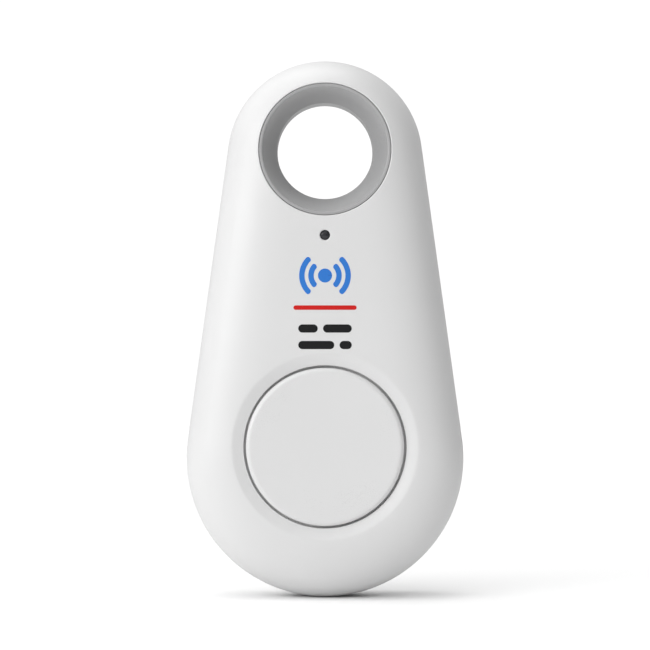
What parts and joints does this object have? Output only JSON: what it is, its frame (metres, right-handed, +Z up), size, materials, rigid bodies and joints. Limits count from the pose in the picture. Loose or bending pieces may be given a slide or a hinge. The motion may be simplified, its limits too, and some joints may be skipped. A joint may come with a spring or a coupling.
{
  "type": "bluetooth tracker tag",
  "caption": "Teardrop key-finder tag with a lined key-ring hole, a round push button, a status light and a coin cell behind a snap-off rear cover.",
  "frame": {"origin": "on the axis of the key-ring hole, half way through the case's thickness", "axes": "+Z up the long axis from the wide foot to the holed crown, +X to the right seen from the front, -Y out of the front face, along the key-ring hole"},
  "size_m": [0.029, 0.0114, 0.0559],
  "materials": {
    "white_abs": "satin",
    "button_abs": "satin",
    "liner_metal": "satin",
    "smoked_plastic": "gloss",
    "board_green": "satin solder mask",
    "gold_plate": "gold plated",
    "black_resin": "moulded",
    "solder": "tinned",
    "ceramic_tan": "fired ceramic",
    "nickel_can": "nickel plated",
    "led_white": "moulded",
    "clear_epoxy": "clear",
    "spring_steel": "bright",
    "copper_spring": "phosphor bronze",
    "grey_nylon": "moulded",
    "brass_plate": "rolled",
    "pale_ceramic": "silvered ceramic",
    "adhesive": "tape",
    "black_mesh": "woven",
    "foam": "foam",
    "cell_steel": "rolled steel",
    "gasket_nylon": "moulded",
    "lithium": "soft metal",
    "separator_felt": "felt",
    "cathode_mix": "pressed powder"
  },
  "bodies": {
    "case": {"front_cover": "white_abs", "ring_liner": "liner_metal", "light_pipe": "smoked_plastic", "circuit_board": "board_green", "board_pads": "gold_plate", "antenna_trace": "gold_plate", "radio_chip": "black_resin", "chip_pads": "solder", "crystal_base": "ceramic_tan", "crystal_can": "nickel_can", "resistor_bodies": "black_resin", "resistor_ends": "solder", "capacitor_bodies": "ceramic_tan", "capacitor_ends": "solder", "led_base": "led_white", "led_lens": "clear_epoxy", "switch_base": "black_resin", "switch_terminals": "solder", "switch_dome": "spring_steel", "switch_frame": "spring_steel", "cell_cradle": "grey_nylon", "cell_positive_spring": "spring_steel", "cell_negative_spring": "spring_steel", "buzzer_centre_spring": "copper_spring", "buzzer_rim_spring": "copper_spring"},
    "button": {"button_cap": "button_abs"},
    "plunger": {"switch_plunger": "led_white"},
    "rear_shell": {"rear_cover": "white_abs", "buzzer_adhesive": "adhesive", "buzzer_plate": "brass_plate", "buzzer_ceramic": "pale_ceramic", "sound_mesh": "black_mesh", "foam_pad": "foam"},
    "coin_cell": {"cell_can": "cell_steel", "cell_gasket": "gasket_nylon", "cell_cap": "cell_steel", "cell_anode": "lithium", "cell_separator": "separator_felt", "cell_cathode": "cathode_mix"}
  },
  "joints": [
    {"name": "button_press", "type": "slide", "parent": "case", "child": "button", "axis": [0, 1, 0], "range_m": [0, 0.0003], "stiffness_N_per_m": 3000},
    {"name": "plunger_travel", "type": "slide", "parent": "case", "child": "plunger", "axis": [0, 1, 0], "range_m": [0, 0.0003], "deforming": ["switch_dome"]},
    {"name": "rear_cover_removal", "type": "slide", "parent": "case", "child": "rear_shell", "axis": [0, 1, 0], "range_m": [0, 0.02]},
    {"name": "coin_cell_removal", "type": "slide", "parent": "case", "child": "coin_cell", "axis": [0, 1, 0], "range_m": [0, 0.01]}
  ],
  "couplings": [
    {"joint": "plunger_travel", "follows": "button_press", "ratio": 1},
    {"joint": "coin_cell_removal", "follows": "rear_cover_removal", "ratio": 0.5}
  ]
}
